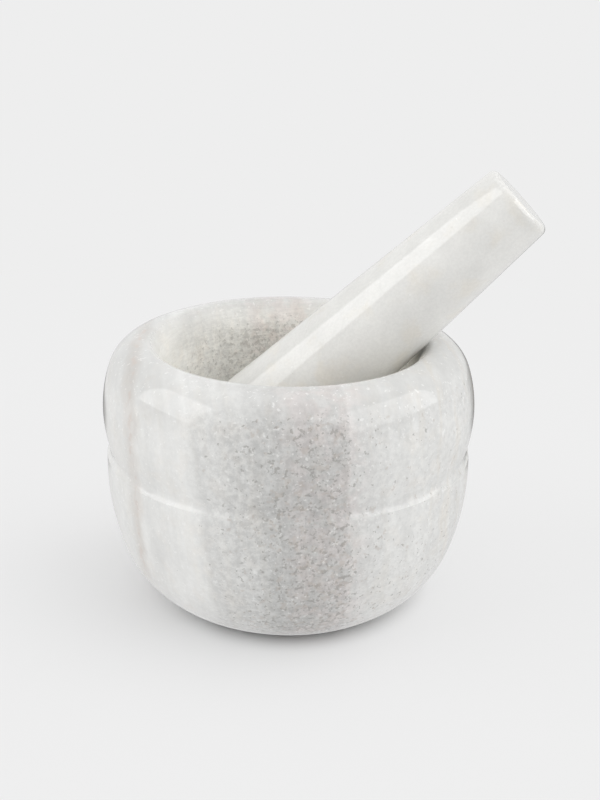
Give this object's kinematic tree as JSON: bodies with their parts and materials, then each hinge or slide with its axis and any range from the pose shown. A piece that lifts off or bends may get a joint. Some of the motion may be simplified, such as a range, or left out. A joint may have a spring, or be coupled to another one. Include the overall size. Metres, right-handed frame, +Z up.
{
  "type": "mortar and pestle",
  "caption": "Turned marble mortar with a grooved belly and a rounded rim, and a tapered round-headed pestle leaning in its bowl.",
  "frame": {"origin": "centre of the mortar's flat underside, on the surface that it stands on", "axes": "+Z up along the mortar's axis, +X to the side that the pestle leans towards, -Y towards the viewer"},
  "size_m": [0.1377, 0.12, 0.1405],
  "materials": {
    "marble_mortar": "polished white-grey marble with coarse grey-brown speckle, and a matte ground bowl",
    "marble_pestle": "polished beige-grey marble with soft clouds"
  },
  "bodies": {
    "mortar": {"mortar": "marble_mortar"},
    "pestle": {"pestle": "marble_pestle"}
  },
  "joints": [
    {"name": "pestle_lift", "type": "slide", "parent": "mortar", "child": "pestle", "axis": [0, 0, 1], "range_m": [0, 0.08]}
  ]
}
